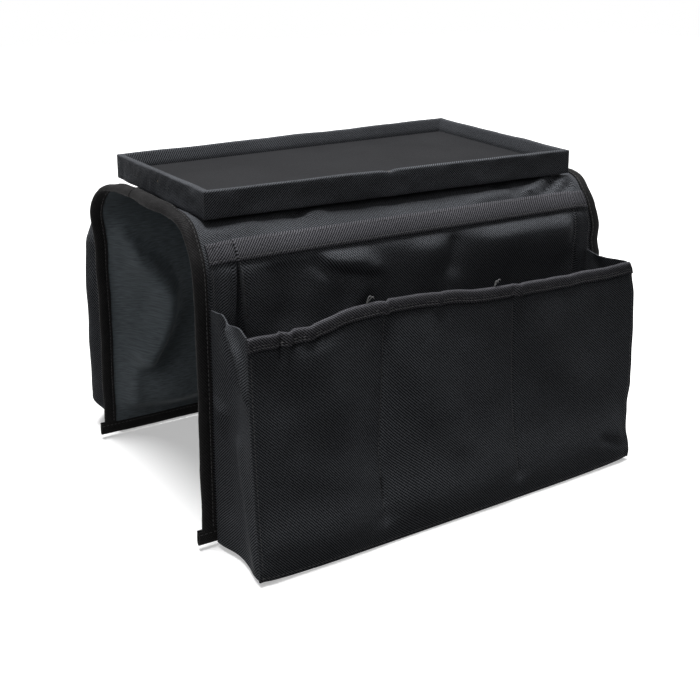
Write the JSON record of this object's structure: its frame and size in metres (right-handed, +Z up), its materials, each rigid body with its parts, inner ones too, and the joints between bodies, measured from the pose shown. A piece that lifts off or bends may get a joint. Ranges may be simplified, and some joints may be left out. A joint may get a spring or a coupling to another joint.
{
  "type": "sofa armrest organizer",
  "caption": "Cloth saddle for a sofa's arm: a low-walled tray on top, and a flap each side with a boxy slotted pocket; one flap also has a pleated sleeve.",
  "frame": {"origin": "centre of the bounding box, at the floor that the hems and the pockets stand on", "axes": "+X along the sofa's arm, +Z up, -Y towards the side with the pleated sleeve"},
  "size_m": [0.358, 0.319, 0.236],
  "materials": {
    "outer_cloth": "matt black woven polyester with a fine diagonal rib",
    "lining_cloth": "smooth dark grey nylon with a soft sheen",
    "edge_tape": "plain black binding tape, stitched near its edge",
    "tray_cloth": "matt black woven polyester, drawn tight over board",
    "stiff_board": "raw grey-brown fibre board, hidden inside the cloth"
  },
  "bodies": {
    "deck": {"deck_panel": "outer_cloth", "deck_lining": "lining_cloth", "deck_binding_left": "edge_tape", "deck_binding_right": "edge_tape", "tray_base_board": "stiff_board", "tray_floor_cloth": "tray_cloth", "tray_underside_cloth": "edge_tape", "tray_rim_board_front": "stiff_board", "tray_rim_board_rear": "stiff_board", "tray_rim_board_left": "stiff_board", "tray_rim_board_right": "stiff_board", "tray_rim_cover": "tray_cloth", "tray_anchor_tape_front": "edge_tape", "tray_anchor_tape_rear": "edge_tape"},
    "front_flap": {"front_flap_panel": "outer_cloth", "front_flap_lining": "lining_cloth", "front_binding_left": "edge_tape", "front_binding_right": "edge_tape", "front_bottom_hem": "edge_tape", "front_sleeve_panel": "outer_cloth", "front_sleeve_hem": "edge_tape", "front_gusset_left": "outer_cloth", "front_gusset_right": "outer_cloth", "front_pocket_floor": "outer_cloth"},
    "front_pocket": {"front_pocket_panel": "outer_cloth", "front_pocket_hem": "edge_tape", "front_slot_lining": "lining_cloth"},
    "rear_flap": {"rear_flap_panel": "outer_cloth", "rear_flap_lining": "lining_cloth", "rear_binding_left": "edge_tape", "rear_binding_right": "edge_tape", "rear_bottom_hem": "edge_tape", "rear_gusset_left": "outer_cloth", "rear_gusset_right": "outer_cloth", "rear_pocket_floor": "outer_cloth"},
    "rear_pocket": {"rear_pocket_panel": "outer_cloth", "rear_pocket_hem": "edge_tape", "rear_slot_lining": "lining_cloth"}
  },
  "joints": [
    {"name": "front_flap_fold", "type": "hinge", "parent": "deck", "child": "front_flap", "pos_m": [0, -0.09132, 0.20622], "axis": [-1, 0, 0], "range_deg": [-20, 90]},
    {"name": "rear_flap_fold", "type": "hinge", "parent": "deck", "child": "rear_flap", "pos_m": [0, 0.07232, 0.20622], "axis": [1, 0, 0], "range_deg": [-20, 90]},
    {"name": "front_pocket_collapse", "type": "slide", "parent": "front_flap", "child": "front_pocket", "axis": [0, 1, 0], "range_m": [0, 0.018], "deforming": ["front_gusset_left", "front_gusset_right", "front_pocket_floor"]},
    {"name": "rear_pocket_collapse", "type": "slide", "parent": "rear_flap", "child": "rear_pocket", "axis": [0, -1, 0], "range_m": [0, 0.05], "deforming": ["rear_gusset_left", "rear_gusset_right", "rear_pocket_floor"]}
  ]
}
